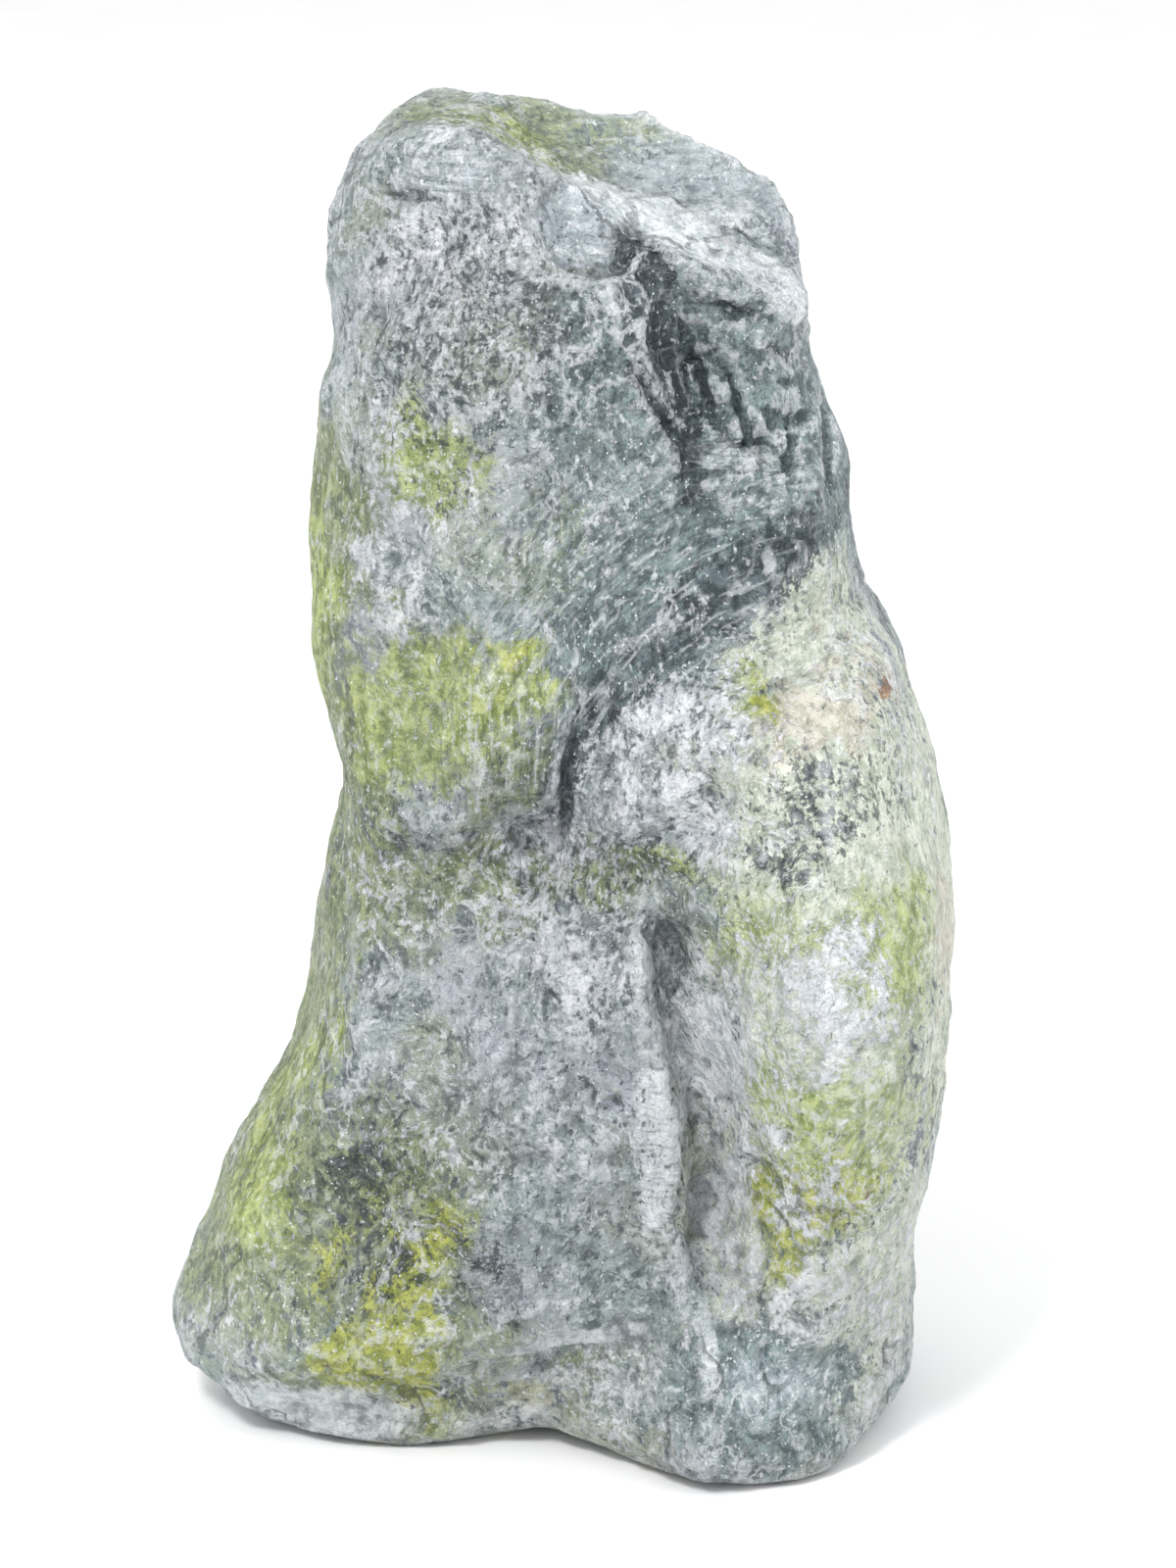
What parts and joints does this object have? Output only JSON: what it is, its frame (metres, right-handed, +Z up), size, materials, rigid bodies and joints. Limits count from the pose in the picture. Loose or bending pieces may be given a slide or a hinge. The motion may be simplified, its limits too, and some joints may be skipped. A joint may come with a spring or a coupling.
{
  "type": "raw soapstone",
  "caption": "Rough block of natural soapstone for carving, broad at the foot and sloping at the top, that stands on its own nearly flat underside.",
  "frame": {"origin": "middle of the bounding box in X and Y, at the height of the flat underside that the stone stands on", "axes": "+Z up along the stone's length, -Y towards the face with the top ridge, the crack and the swollen flank, +X to the right as that face is looked at"},
  "size_m": [0.2024, 0.1466, 0.3398],
  "materials": {
    "soapstone": null
  },
  "bodies": {
    "root": {"soapstone": "soapstone"}
  },
  "joints": []
}
